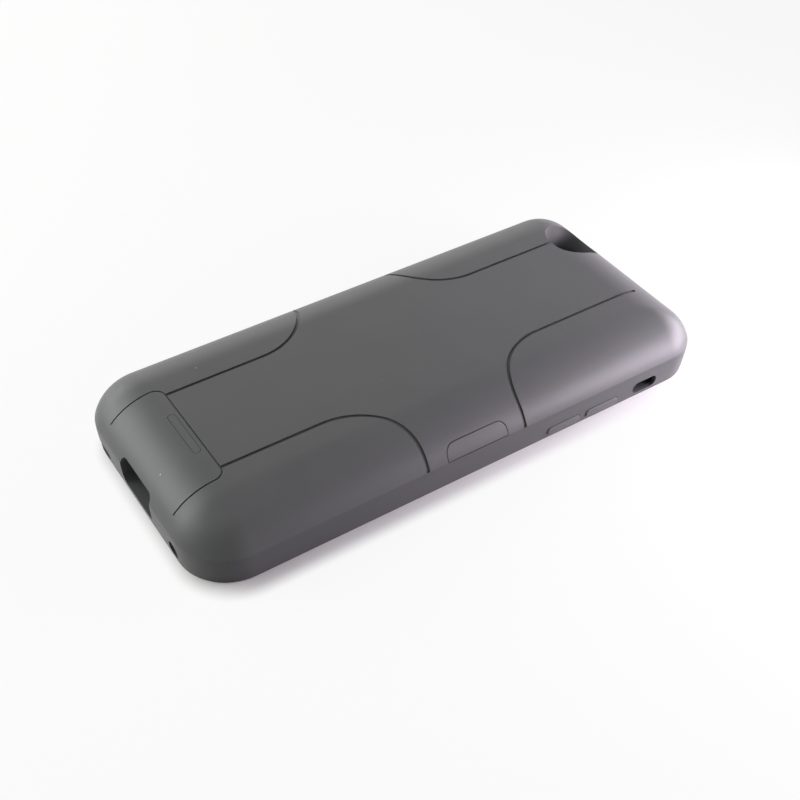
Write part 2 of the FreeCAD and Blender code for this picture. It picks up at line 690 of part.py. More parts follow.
# Switch behind the power key
switch_body = box("switch_body", (f"{SWITCH_X} - switch_depth", SWITCH_X),
                  centred("key_middle", "switch_length"), (SWITCH_Z, f"{SWITCH_Z} + switch_height"))
plunger_end = f"({BAR_BACK_X} - plunger_length)"
plunger_bore = rod("plunger_bore", "YZ", ("key_middle", BAR_Z), "plunger_diameter + 2 * plunger_gap",
                   (f"{plunger_end} - key_travel - plunger_room", f"{SWITCH_X} + overcut"))
piece("key_switch", cut("key_switch", switch_body, plunger_bore))
piece("switch_plunger", rod("switch_plunger", "YZ", ("key_middle", BAR_Z), "plunger_diameter",
                            (plunger_end, BAR_BACK_X)))
switch_board_x = f"({SWITCH_X} + switch_board_lead)"
switch_board_along = centred("key_middle", "switch_board_length")
piece("switch_board", box("switch_board", (f"{switch_board_x} - switch_board_width", switch_board_x),
                          switch_board_along, (TRAY_TOP, SWITCH_Z)))
ribbon_height = (TRAY_TOP, f"{TRAY_TOP} + ribbon_thickness")
ribbon_along = box("ribbon_along", (f"{RIBBON_X} - ribbon_width", RIBBON_X),
                   (f"{RIBBON_Y} - ribbon_width / 2", switch_board_along[0]), ribbon_height)
ribbon_across = box("ribbon_across", ("control_width / 2", RIBBON_X), centred(RIBBON_Y, "ribbon_width"),
                    ribbon_height)
piece("switch_ribbon", fuse("switch_ribbon", ribbon_along, ribbon_across))

# Every object has to be sound before any file is written
doc.recompute()
for item in doc.Objects:
    if "Invalid" in item.State or "Error" in item.State:
        raise RuntimeError(f"{item.Label} failed: {item.State}")
for item in pieces:
    if item.Shape.isNull() or not item.Shape.isValid():
        raise RuntimeError(f"{item.Label} has no sound shape")

os.makedirs("parts", exist_ok=True)
for item in pieces:
    item.Shape.exportStep(f"parts/{item.Label}.step")
    print(f"{item.Label}: {len(item.Shape.Solids)} solid(s), {item.Shape.Volume:.1f} cubic mm")
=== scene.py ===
# %% [markdown]
# # A battery case for a slim phone
# The case lies face down on a pale table, with its rounded back up. The solids of every piece are loaded
# first and stay where they are. The mouldings that show are then modelled again as smooth meshes, in the
# same place, and every piece gets the finish of its real material.

# %% Load the solids
import json
import math

import bmesh
import bpy
from mathutils import Matrix, Vector


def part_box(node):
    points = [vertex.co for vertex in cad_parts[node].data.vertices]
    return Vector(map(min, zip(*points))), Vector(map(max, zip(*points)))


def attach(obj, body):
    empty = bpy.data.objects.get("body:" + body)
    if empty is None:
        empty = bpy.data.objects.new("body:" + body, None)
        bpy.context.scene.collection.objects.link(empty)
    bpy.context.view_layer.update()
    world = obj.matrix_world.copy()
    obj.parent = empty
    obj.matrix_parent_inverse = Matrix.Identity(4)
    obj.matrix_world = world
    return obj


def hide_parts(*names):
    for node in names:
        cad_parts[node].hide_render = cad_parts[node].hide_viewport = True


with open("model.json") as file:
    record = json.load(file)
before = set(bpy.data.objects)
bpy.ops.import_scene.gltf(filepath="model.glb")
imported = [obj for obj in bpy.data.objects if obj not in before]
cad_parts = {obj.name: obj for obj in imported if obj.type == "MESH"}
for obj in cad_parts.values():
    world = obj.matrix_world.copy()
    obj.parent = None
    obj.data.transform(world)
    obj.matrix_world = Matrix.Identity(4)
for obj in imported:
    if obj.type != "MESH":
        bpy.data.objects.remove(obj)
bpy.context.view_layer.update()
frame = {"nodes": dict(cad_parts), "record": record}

MM = 0.001
nodes = frame["nodes"]

# %% [markdown]
# ## Camera
# A photograph is matched by the camera's place, its aim and its lens. The case's corners and grooves fix all
# three, so the camera is set by angles round the case rather than by eye. The small roll is the hand's.

# %% Camera at the photograph's angle
FRAME_PX = 800
FOCAL_PX = 1255.0
SENSOR_MM = 36.0
AZIMUTH = math.radians(56.32)
ELEVATION = math.radians(42.73)
ROLL = math.radians(0.79)
DISTANCE = 327.13 * MM
LOOK_AT = Vector((8.12, -5.46, 7.0)) * MM


def link(name, data):
    """Puts new data into the scene as an object at the origin."""
    piece = bpy.data.objects.new(name, data)
    bpy.context.scene.collection.objects.link(piece)
    return piece


camera = link("camera", bpy.data.cameras.new("camera"))
camera.data.sensor_width = SENSOR_MM
camera.data.lens = FOCAL_PX / FRAME_PX * SENSOR_MM
turn = Matrix.Rotation(AZIMUTH, 4, "Z") @ Matrix.Rotation(math.pi / 2 - ELEVATION, 4, "X")
back = turn.to_3x3() @ Vector((0, 0, 1))
camera.matrix_world = Matrix.Translation(LOOK_AT + DISTANCE * back) @ turn @ Matrix.Rotation(ROLL, 4, "Z")
bpy.context.scene.camera = camera
bpy.context.scene.view_settings.view_transform = "Standard"
print("lens:", round(camera.data.lens, 2), "mm")

# %% [markdown]
# ## Rounded outlines
# Nearly every form of the case is a stack of rectangles with round corners: the back, the band, the phone's
# recess and each opening. A curve with a bevel could draw such an outline, but a mesh ring can be bridged to
# the next one. So one ring is a grid of one square, sized and put in place, whose corners are then rounded by
# a vertex bevel. A form is a stack of rings, bridged in turn and capped at both ends.

# %% Rings
CORNER_STEPS = 14


def ring(bm, across, along, level, radii):
    """A closed loop of edges: a rectangle with round corners. Radii are of the low and the high corners."""
    known = set(bm.edges)
    corners = bmesh.ops.create_grid(bm, x_segments=1, y_segments=1, size=0.5)["verts"]
    size = (across[1] - across[0], along[1] - along[0], 1)
    middle = (sum(across) / 2, sum(along) / 2, level)
    bmesh.ops.scale(bm, vec=size, verts=corners)
    bmesh.ops.translate(bm, vec=middle, verts=corners)
    ends = ([v for v in corners if v.co.y < middle[1]], [v for v in corners if v.co.y > middle[1]])
    for end, radius in zip(ends, radii):
        bmesh.ops.bevel(bm, geom=end, offset=radius, offset_type="OFFSET", segments=CORNER_STEPS,
                        profile=0.5, affect="VERTICES", material=-1)
    edges = [edge for edge in bm.edges if edge not in known]
    bmesh.ops.delete(bm, geom=bm.faces[:], context="FACES_ONLY")
    return edges


# %% Forms
# A flat step from one ring to the next gets this hair of height, which tells bridging how the loops turn
HAIR = 0.01
# What a plane's own axes are in the case: its first and second axis, and the one that points out of it
PLANES = {
    "XY": Matrix.Identity(4),
    "XZ": Matrix(((1, 0, 0, 0), (0, 0, -1, 0), (0, 1, 0, 0), (0, 0, 0, 1))),
    "YZ": Matrix(((0, 0, 1, 0), (1, 0, 0, 0), (0, 1, 0, 0), (0, 0, 0, 1))),
}


def finished(name, bm, place=PLANES["XY"]):
    """Turns a bmesh in millimetres into an object in metres, with its faces pointing out."""
    bmesh.ops.transform(bm, matrix=Matrix.Scale(MM, 4) @ place, verts=bm.verts)
    bmesh.ops.recalc_face_normals(bm, faces=bm.faces)
    mesh = bpy.data.meshes.new(name)
    bm.to_mesh(mesh)
    bm.free()
    return link(name, mesh)


def form(name, rings, plane="XY"):
    """A closed mesh through a stack of rings, given in millimetres in a plane's own axes."""
    bm = bmesh.new()
    loops = [ring(bm, *one) for one in rings]
    for low, high in zip(loops, loops[1:]):
        bmesh.ops.bridge_loops(bm, edges=low + high)
    for loop in (loops[0], loops[-1]):
        bmesh.ops.edgeloop_fill(bm, edges=loop)
    return finished(name, bm, PLANES[plane])


# %% [markdown]
# ## Cutting and joining
# The grooves and openings are cut the way a mould would leave them. A Boolean modifier does that between two
# closed meshes. It could stay live, but then the cutting shapes would have to stay in the scene too, so its
# result is kept as the mesh and the cutter is removed.

# %% One Boolean step
def carve(piece, tool, operation="DIFFERENCE", keep=False):
    """Cuts a tool from a piece, or joins the two, and clears the tool away."""
    step = piece.modifiers.new("carve", "BOOLEAN")
    step.object = tool
    step.operation = operation
    step.solver = "EXACT"
    bpy.context.view_layer.update()
    result = bpy.data.meshes.new_from_object(piece.evaluated_get(bpy.context.evaluated_depsgraph_get()))
    piece.modifiers.remove(step)
    old = piece.data
    piece.data = result
    bpy.data.meshes.remove(old)
    if not keep:
        bpy.data.meshes.remove(tool.data)


# %% [markdown]
# ## Outer form
# The back is an ellipse in section: it rises steeply from the crease at the side and runs out flat. The band
# below the crease leans in a little towards the front rim. A subdivision surface could give such a form, but
# not a crisp crease, so both are stacks of rings at the heights of the real curve.

# %% Sizes of the outer form
SIDE = 35.2
END = 76.6
DEPTH = 18.0
PARTING = 8.6
CORNERS = (14.2, 11.8)
TOP_CORNER = 1.5
REACH = 15.0
RISE = 13.0
RIM_TUCK = 0.7
GROOVE_DEPTH = 0.5
WALL = 1.8
BACK_STEPS = 36
EDGE_START = DEPTH - RISE


def level_ring(level, inset):
    """A ring of the outer form, pulled in from the crease's outline."""
    radii = [max(radius - inset, TOP_CORNER) for radius in CORNERS]
    return (-SIDE + inset, SIDE - inset), (-END + inset, END - inset), level, radii


def back_rings(skin, lift=0):
    """The rings of the back from the crease up, a skin's depth inside it and lifted by a hair if need be."""
    rise = RISE - skin
    first = math.asin((PARTING - EDGE_START) / rise)
    rings = []
    for step in range(BACK_STEPS + 1):
        angle = first + (math.pi / 2 - first) * step / BACK_STEPS
        share = 1 - math.cos(angle) / math.cos(first)
        rings.append(level_ring(EDGE_START + rise * math.sin(angle) + lift, skin + (REACH - skin) * share))
    return rings


back_form = form("back_form", back_rings(0))
floor_form = form("floor_form", back_rings(GROOVE_DEPTH))
print("outer form:", len(back_form.data.polygons), "faces")

# %% [markdown]
# ## Grooves
# Four wide grooves run along the back, swing outwards and go down the sides, and a finer line frames the end
# panel. On the real case they are moulded to one even depth, also where the back curves away. A bump could
# fake them from above, but it would be missing at the outline. So each groove is an upright wall, pulled
# along its runs and spun round its bends, from which a form half a millimetre inside the back is cut away.
# What is left of the wall is as deep as the groove everywhere.

# %% Upright walls to cut the grooves with
WALL_LOW = PARTING - 1
WALL_HIGH = DEPTH + 1
BEND_STEPS = 24


def upright_wall(name, start, heading, width, moves):
    """A thin wall from a start point in plan. Each move is a run's length, then a bend's angle and radius."""
    bm = bmesh.new()
    bmesh.ops.create_grid(bm, x_segments=1, y_segments=1, size=0.5)
    spot = Vector((*start, 0))
    along = Vector((math.cos(heading), math.sin(heading), 0))
    left = Vector((-along.y, along.x, 0))
    stand = Matrix((left * width, (0, 0, WALL_HIGH - WALL_LOW), along)).transposed().to_4x4()
    lift = Matrix.Translation(spot + Vector((0, 0, (WALL_LOW + WALL_HIGH) / 2)))
    bmesh.ops.transform(bm, matrix=lift @ stand, verts=bm.verts)
    front = bm.faces[:]
    for number, (run, angle, radius) in enumerate(moves):
        pulled = bmesh.ops.extrude_face_region(bm, geom=front)["geom"]
        # The first face closes the wall's start. The later ones would be left inside it.
        if number:
            bmesh.ops.delete(bm, geom=front, context="FACES_ONLY")
        front = [item for item in pulled if isinstance(item, bmesh.types.BMFace)]
        bmesh.ops.translate(bm, vec=along * run, verts=front[0].verts[:])
        spot += along * run
        if angle:
            middle = spot + left * math.copysign(radius, angle)
            edge = front + front[0].edges[:] + front[0].verts[:]
            swung = bmesh.ops.spin(bm, geom=edge, cent=middle, axis=(0, 0, 1), angle=angle, steps=BEND_STEPS)
            front = [item for item in swung["geom_last"] if isinstance(item, bmesh.types.BMFace)]
            spin = Matrix.Rotation(angle, 3, "Z")
            spot = middle + spin @ (spot - middle)
            along = spin @ along
            left = spin @ left
    return finished(name, bm)


# %% The four grooves and the end panel's line
QUARTER = math.pi / 2
GROOVE_WIDTH = 0.9
GROOVE_X = 14.8
GROOVE_BEND = 18.0
GROOVE_TOP_Y = END - 9.3
PANEL_Y = -END + 16.5
PANEL_X = 17.8
PANEL_CORNER = 3.0
PANEL_LINE = 0.4
PANEL_STOP_Y = -END + 2.3

walls = []
for side in (-1, 1):
    for end, stop in ((1, GROOVE_TOP_Y), (-1, PANEL_Y)):
        bend_y = GROOVE_X + GROOVE_BEND
        moves = [(abs(stop) - bend_y, side * end * QUARTER, GROOVE_BEND), (SIDE + 1 - bend_y, 0, 0)]
        walls.append(upright_wall("groove", (side * GROOVE_X, stop), -end * QUARTER, GROOVE_WIDTH, moves))
panel_run = PANEL_Y - PANEL_STOP_Y - PANEL_CORNER
panel_moves = [(panel_run, -QUARTER, PANEL_CORNER), (2 * (PANEL_X - PANEL_CORNER), -QUARTER, PANEL_CORNER),
               (panel_run, 0, 0)]
walls.append(upright_wall("panel_line", (-PANEL_X, PANEL_STOP_Y), QUARTER, PANEL_LINE, panel_moves))
print("walls:", len(walls))

# %% [markdown]
# ## Openings
# The camera hole flares outwards so that the case stays out of the picture, and the other openings go
# straight in. Each is a form of two rings that is cut from the mouldings. Half a dozen cylinders and cubes
# would leave square corners, where the real mould has small radii.

# %% Forms of the openings
CAMERA_LOW_Z = 7.3
CAMERA_X = (-21.4, -7.5)
CAMERA_Y = (62.5, 71.5)
CAMERA_CORNER = 4.2
FLARE_X = (0.6, 1.6)
FLARE_NEAR = 1.4
FLARE_FAR = 6.6
FLARE_CORNER = 2.8
TRAY_TOP = 9.3


def camera_ring(level, wall=0):
    """A ring of the flared hole at a height, or of the collar's outside with a wall added."""
    share = (level - CAMERA_LOW_Z) / (DEPTH - CAMERA_LOW_Z)
    across = (CAMERA_X[0] - FLARE_X[0] * share - wall, CAMERA_X[1] + FLARE_X[1] * share + wall)
    along = (CAMERA_Y[0] - FLARE_NEAR * share - wall, CAMERA_Y[1] + FLARE_FAR * share + wall)
    return across, along, level, [CAMERA_CORNER + FLARE_CORNER * share + wall] * 2


def straight(name, plane, across, along, span, *radii):
    """A form with the same outline at both ends of its span."""
    return form(name, [(across, along, level, (radii[0], radii[-1])) for level in span], plane)


def about(middle, length):
    """The low and high end of a length about its middle."""
    return middle - length / 2, middle + length / 2


# %% Camera hole and charging opening
OUT = 1.0
PAST_END = END + OUT
PAST_SIDE = SIDE + OUT
CHARGE_X = about(0, 16.6)
CHARGE_Z = (2.4, 11.0)
CHARGE_DEPTH = 4.1
CHARGE_CORNER = 2.0
camera_hole = form("camera_hole", [camera_ring(CAMERA_LOW_Z), camera_ring(DEPTH + OUT)])
charge_hole = straight("charge_hole", "XZ", CHARGE_X, CHARGE_Z, (END - CHARGE_DEPTH, PAST_END), CHARGE_CORNER)
print("openings:", len(camera_hole.data.polygons), "and", len(charge_hole.data.polygons), "faces")

# %% [markdown]
# ## Back shell
# The back is one moulding with a wall of nearly two millimetres. Its inside follows its outside, so the
# rings of the battery's bay and those of the back make one closed stack. A Solidify modifier would do as
# well, but would thicken the crease's flat edge too.

# %% Back shell with its grooves and openings
COLLAR_WALL = 1.2
KEY_MIDDLE = 0.3
KEY_LENGTH = 18.4
KEY_TOP = 12.8
KEY_CORNER = 2.6
SHARP = 0.2
BAR_Y = PANEL_Y - 2.2
BAR_LENGTH = 15.4
BAR_WIDTH = 2.1
# The corner radius of a slot's round end, as a share of the slot's height
ROUND_END = 0.42

back_shell = form("soft_touch_back", back_rings(WALL, HAIR)[::-1] + back_rings(0))
for wall in walls:
    carve(wall, floor_form, keep=True)
    carve(back_shell, wall)
collar = form("collar", [camera_ring(TRAY_TOP, COLLAR_WALL), camera_ring(DEPTH, COLLAR_WALL)])
carve(collar, floor_form, "INTERSECT", keep=True)
carve(back_shell, collar, "UNION")
carve(back_shell, camera_hole, keep=True)
carve(back_shell, charge_hole, keep=True)
key_span = (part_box("power_key")[0].x / MM - OUT, PAST_SIDE)
carve(back_shell, straight("key_slot", "YZ", about(KEY_MIDDLE, KEY_LENGTH), (PARTING - OUT, KEY_TOP),
                           key_span, SHARP, KEY_CORNER))
carve(back_shell, straight("bar_slot", "XY", about(0, BAR_LENGTH), about(BAR_Y, BAR_WIDTH),
                           (DEPTH - WALL - OUT, DEPTH + OUT), ROUND_END * BAR_WIDTH))
print("back shell:", len(back_shell.data.polygons), "faces")

# %% [markdown]
# ## Front tray
# The tray is the band below the crease, with the spigot that plugs into the back, the phone's recess and the
# lip that holds the phone in. The band and the spigot are one stack of rings, down to the rounded rim. The
# recess is a second stack, with its rounded floor edge, and is cut out of the first one.

# %% Front tray with its recess
RECESS_X = 33.6
RECESS_Y = (-63.6, 74.8)
RECESS_TOP = 8.3
RECESS_CORNER = 10.2
RECESS_EDGE = 3.2
LIP = 1.0
LIP_TOP = 1.2
SPIGOT_INSET = 3.4
SPIGOT_CORNER = 11.0
RIM_ROUND = 0.35
BAND_STEPS = 8
ROUND_STEPS = 6


def recess_ring(level, inset):
    """A ring of the phone's recess, pulled in from its widest outline."""
    across = (-RECESS_X + inset, RECESS_X - inset)
    return across, (RECESS_Y[0] + inset, RECESS_Y[1] - inset), level, [RECESS_CORNER - inset] * 2


def band_inset(level):
    return RIM_TUCK * (1 - level / PARTING) ** 2


def quarter_turn(steps):
    """The sine and cosine of each step of a quarter turn."""
    return [(math.sin(QUARTER * step / steps), math.cos(QUARTER * step / steps)) for step in range(steps + 1)]


spigot = [about(0, 2 * (SIDE - SPIGOT_INSET)), about(0, 2 * (END - SPIGOT_INSET))]
rings = [(*spigot, level, [SPIGOT_CORNER] * 2) for level in (TRAY_TOP, PARTING + HAIR)]
for step in range(BAND_STEPS):
    level = PARTING + (RIM_ROUND - PARTING) * step / BAND_STEPS
    rings.append(level_ring(level, band_inset(level)))
for sine, cosine in quarter_turn(ROUND_STEPS):
    rings.append(level_ring(RIM_ROUND * (1 - sine), band_inset(RIM_ROUND) + RIM_ROUND * (1 - cosine)))
front_tray = form("moulded_tray", rings)

rings = [recess_ring(-OUT, LIP - RIM_ROUND)]
for sine, cosine in quarter_turn(ROUND_STEPS):
    rings.append(recess_ring(RIM_ROUND * (1 - cosine), LIP - RIM_ROUND * (1 - sine)))
rings += [recess_ring(LIP_TOP, LIP), recess_ring(LIP_TOP + HAIR, 0)]
for sine, cosine in quarter_turn(ROUND_STEPS):
    rings.append(recess_ring(RECESS_TOP - RECESS_EDGE * (1 - sine), RECESS_EDGE * (1 - cosine)))
carve(front_tray, form("recess", rings))
print("front tray:", len(front_tray.data.polygons), "faces")

# %% Sizes of the tray's slots and holes
CHIN_Y = RECESS_Y[0] - 1.8
POCKET_X = about(0, 28.0)
POCKET_FLOOR = 1.6
END_WALL = 5.6
SOCKET_ROOM = 0.1
MUTE_Y = about(END - 20.9, 8.1)
MUTE_Z = (1.35, 5.15)
VOLUME_LENGTH = 10.9
VOLUME_Z = (1.25, 3.85)
VOLUME_Y = {"volume_down_key": END - 48.6, "volume_up_key": END - 35.8}
SEAT_X = 34.3
FLANGE = 0.9
KEY_GAP = 0.2
PLUG_X = about(0, 6.9)
PLUG_Z = about(4.75, 1.7)
SPEAKER_X = about(-22.7, 11.4)
SPEAKER_Z = about(2.8, 3.0)
HEADPHONE = 4.59
HEADPHONE_X = about(19.8, HEADPHONE)
HEADPHONE_Z = about(3.6, HEADPHONE)
# A hair less than half, so that neighbouring round corners don't meet
FULL_ROUND = 1 / 2.001

through_side = (RECESS_X - OUT, PAST_SIDE)
through_end = (-RECESS_Y[0] - LIP, PAST_END)
socket_low, socket_high = (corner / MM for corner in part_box("charging_socket"))
print("socket room:", round(socket_high.x - socket_low.x + 2 * SOCKET_ROOM, 2), "mm")


# %% Slots and holes of the tray
def round_slot(name, plane, across, along, span):
    """A straight opening with round ends."""
    return straight(name, plane, across, along, span, ROUND_END * (along[1] - along[0]))


cutters = [
    camera_hole,
    charge_hole,
    straight("pocket", "XY", POCKET_X, (-END + END_WALL, CHIN_Y), (POCKET_FLOOR, TRAY_TOP + OUT), SHARP),
    straight("socket_notch", "XY", (socket_low.x - SOCKET_ROOM, socket_high.x + SOCKET_ROOM),
             (-END + CHARGE_DEPTH - OUT, -END + END_WALL + OUT),
             (socket_low.z - SOCKET_ROOM, TRAY_TOP + OUT), HAIR),
    straight("headphone_hole", "XZ", HEADPHONE_X, HEADPHONE_Z, through_end, HEADPHONE * FULL_ROUND),
    round_slot("speaker_slot", "XZ", SPEAKER_X, SPEAKER_Z, through_end),
    round_slot("plug_slot", "XZ", PLUG_X, PLUG_Z, (-RECESS_Y[0] - OUT, -CHIN_Y + OUT)),
    round_slot("mute_slot", "YZ", MUTE_Y, MUTE_Z, through_side),
]
for middle in VOLUME_Y.values():
    cutters.append(round_slot("key_opening", "YZ", about(middle, VOLUME_LENGTH), VOLUME_Z, through_side))
    seat = about(middle, VOLUME_LENGTH + 2 * (FLANGE + KEY_GAP))
    cutters.append(round_slot("key_seat", "YZ", seat, VOLUME_Z, (through_side[0], SEAT_X)))
for cutter in cutters:
    carve(front_tray, cutter)
print("front tray:", len(front_tray.data.polygons), "faces after cutting")

# %% [markdown]
# ## Keys
# The power key continues the curve of the back, with a hair's gap round it, so it is the back's own form cut
# to the key's outline. The volume keys are small bars with round ends and a rounded face, on a wider flange
# that keeps them from falling out.

# %% Power key
KEY_SKIN = 1.9
STEM_LENGTH = 15.0
STEM_FRONT = 32.8
RAIL_Z = (10.0, 11.4)
RAIL_THICKNESS = 1.05
key_low, key_high = (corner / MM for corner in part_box("power_key"))
power_key = straight("power_button", "YZ", about(KEY_MIDDLE, KEY_LENGTH - 2 * KEY_GAP),
                     (PARTING + KEY_GAP, KEY_TOP - KEY_GAP), key_span, SHARP, KEY_CORNER - KEY_GAP)
carve(power_key, back_form, "INTERSECT")
carve(power_key, form("key_inside", back_rings(KEY_SKIN)))
stem = straight("stem", "YZ", about(KEY_MIDDLE, STEM_LENGTH), RAIL_Z, (key_low.x, STEM_FRONT), SHARP)
rail = straight("rail", "YZ", (key_low.y, key_high.y), RAIL_Z, (key_low.x, key_low.x + RAIL_THICKNESS), SHARP)
carve(stem, rail, "UNION")
carve(power_key, stem, "UNION")
print("power key:", len(power_key.data.polygons), "faces")

# %% Volume keys
FLANGE_BACK = 33.65
FLANGE_FRONT = 34.15
FACE_ROUND = 0.3
volume_keys = {}
for name, middle in VOLUME_Y.items():
    tall = (VOLUME_Z[0] + KEY_GAP, VOLUME_Z[1] - KEY_GAP)
    end_radius = ROUND_END * (tall[1] - tall[0])
    wide = about(middle, VOLUME_LENGTH + 2 * FLANGE)
    face = about(middle, VOLUME_LENGTH - 2 * KEY_GAP)
    rings = [(wide, tall, level, [end_radius] * 2) for level in (FLANGE_BACK, FLANGE_FRONT)]
    rings.append((face, tall, FLANGE_FRONT + HAIR, [end_radius] * 2))
    for sine, cosine in quarter_turn(ROUND_STEPS):
        inset = FACE_ROUND * (1 - cosine)
        rings.append(((face[0] + inset, face[1] - inset), (tall[0] + inset, tall[1] - inset),
                      SIDE - FACE_ROUND * (1 - sine), [end_radius - inset] * 2))
    volume_keys[name] = form(name.replace("key", "button"), rings, "YZ")
print("volume keys:", len(volume_keys))

# %% Put the pieces on their bodies
SMOOTH_UNDER = math.radians(30)
bpy.data.meshes.remove(floor_form.data)
for piece, body, node, slot in (
    (back_shell, "case", "back_shell", "shell_plastic"),
    (front_tray, "case", "front_tray", "tray_plastic"),
    (power_key, "power_key", "power_key", "key_plastic"),
    (volume_keys["volume_up_key"], "volume_up_key", "volume_up_key", "key_plastic"),
    (volume_keys["volume_down_key"], "volume_down_key", "volume_down_key", "key_plastic"),
):
    piece.data.shade_smooth()
    piece.data.set_sharp_from_angle(angle=SMOOTH_UNDER)
    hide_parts(node)
    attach(piece, body)
    print(piece.name, len(piece.data.polygons), "faces")

# %% [markdown]
# ## How the finishes are made
# A moulded or coated surface is never one flat colour. Each finish starts from two close tones that drift over
# the piece, a fine grain that catches the light, and a gloss that isn't quite even. All patterns are read in
# the piece's own millimetres, so they stay put when a key moves.

# %% Colours, nodes and a base for every finish
def linear(code):
    """An sRGB hex colour as the linear colour that a shader wants."""
    shares = [int(code[at:at + 2], 16) / 255 for at in (1, 3, 5)]
    return [*(s / 12.92 if s <= 0.04045 else ((s + 0.055) / 1.055) ** 2.4 for s in shares), 1]


def add(tree, kind, inputs=None, **settings):
    """Adds a node, with its settings, and its inputs given as values or as other nodes' outputs."""
    made = tree.nodes.new(f"ShaderNode{kind}")
    for name, setting in settings.items():
        setattr(made, name, setting)
    for socket, source in (inputs or {}).items():
        if isinstance(source, bpy.types.NodeSocket):
            tree.links.new(source, made.inputs[socket])
        else:
            made.inputs[socket].default_value = source
    return made


RGBA_A, RGBA_B, RGBA_OUT = 6, 7, 2


def finish(name, tones, drift_mm, grain_mm, grain_depth_mm, gloss, sockets=None):
    """A material of two tones with a drift, a grain and an uneven gloss. Sockets are the shader's constants."""
    material = bpy.data.materials.new(name)
    material.use_nodes = True
    tree = material.node_tree
    shader = tree.nodes["Principled BSDF"]
    for socket, setting in (sockets or {}).items():
        shader.inputs[socket].default_value = setting
    place = add(tree, "TexCoord").outputs["Object"]
    drift = add(tree, "TexNoise", {"Vector": place, "Scale": 1 / (drift_mm * MM), "Detail": 3.0})
    tone_a, tone_b = (linear(tone) for tone in tones)
    colour = add(tree, "Mix", {"Factor": drift.outputs["Fac"], RGBA_A: tone_a, RGBA_B: tone_b},
                 data_type="RGBA")
    grain = add(tree, "TexNoise", {"Vector": place, "Scale": 1 / (grain_mm * MM), "Detail": 1.0})
    rough = add(tree, "MapRange", {"Value": grain.outputs["Fac"], "From Min": 0.3, "From Max": 0.7,
                                   "To Min": gloss[0], "To Max": gloss[1]})
    bump = add(tree, "Bump", {"Height": grain.outputs["Fac"], "Distance": grain_depth_mm * MM})
    tree.links.new(colour.outputs[RGBA_OUT], shader.inputs["Base Color"])
    tree.links.new(rough.outputs["Result"], shader.inputs["Roughness"])
    tree.links.new(bump.outputs["Normal"], shader.inputs["Normal"])
    return material


def cover(material, mask, tone, metal=False):
    """Lays a second colour over a finish where a mask is one, as a metal if need be."""
    tree = material.node_tree
    shader = tree.nodes["Principled BSDF"]
    under = shader.inputs["Base Color"].links[0].from_socket
    mixed = add(tree, "Mix", {"Factor": mask, RGBA_A: under, RGBA_B: linear(tone)}, data_type="RGBA")
    tree.links.new(mixed.outputs[RGBA_OUT], shader.inputs["Base Color"])
    if metal:
        tree.links.new(mask, shader.inputs["Metallic"])
    return material


# %% [markdown]
# ## Soft-touch plastic
# The shell, the tray and the keys are moulded polycarbonate with a dark grey rubbery paint. It is matte, with
# a faint velvet bloom where the light grazes it, and a few specks of dust cling to it. The paint's own grain
# is about a tenth of a millimetre, too fine for the picture, so it is drawn nearly three times as coarse. The
# specks are small balls round the points of a coarse Voronoi pattern. Only the few points that happen to lie in
# the skin show, which keeps the dust sparse.

# %% Soft-touch finishes
PAINT_DRIFT_MM = 14.0
PAINT_GRAIN_MM = 0.28
PAINT_GRAIN_DEPTH_MM = 0.02
PAINT_GLOSS = (0.38, 0.46)
VELVET = {"Sheen Weight": 0.12, "Sheen Roughness": 0.5, "Sheen Tint": linear("#e6e0ea")}
SPECK_MM = 0.16
SPECK_SPACING_MM = 9.0
DUST = "#c9c6bd"


def soft_touch(name, tones, shine):
    """Rubbery paint in two close tones, with sparse dust."""
    material = finish(name, tones, PAINT_DRIFT_MM, PAINT_GRAIN_MM, PAINT_GRAIN_DEPTH_MM, PAINT_GLOSS,
                      {"Specular IOR Level": shine, **VELVET})
    tree = material.node_tree
    place = add(tree, "TexCoord").outputs["Object"]
    cells = add(tree, "TexVoronoi", {"Vector": place, "Scale": 1 / (SPECK_SPACING_MM * MM)})
    speck = add(tree, "Math", {0: cells.outputs["Distance"], 1: SPECK_MM / SPECK_SPACING_MM},
                operation="LESS_THAN")
    return cover(material, speck.outputs[0], DUST)


shell_paint = soft_touch("soft_touch_paint_on_polycarbonate", ("#4f5151", "#575858"), 0.3)
# The same paint as the shell, with its tones set darker: painted shade for the band, which faces down towards
# the table
shaded_tray_paint = soft_touch("soft_touch_paint_on_tray_with_painted_shade", ("#484a4a", "#505151"), 0.15)
key_paint = soft_touch("soft_touch_paint_on_keys", ("#4f5050", "#575858"), 0.3)
for piece, paint in ((back_shell, shell_paint), (front_tray, shaded_tray_paint), (power_key, key_paint),
                     *((key, key_paint) for key in volume_keys.values())):
    piece.data.materials.clear()
    piece.data.materials.append(paint)
print("paints:", shell_paint.name, shaded_tray_paint.name, key_paint.name)

# %% [markdown]
# ## Plastics inside
# The light guide is smoked polycarbonate, frosted so that the lamps under it don't show as dots. The socket's
# tongue and the plug's base are black nylon, and the switch's plunger is a paler acetal. Moulded parts this
# small have a skin of very fine sparks from the eroded mould, drawn here a little coarser than it is.

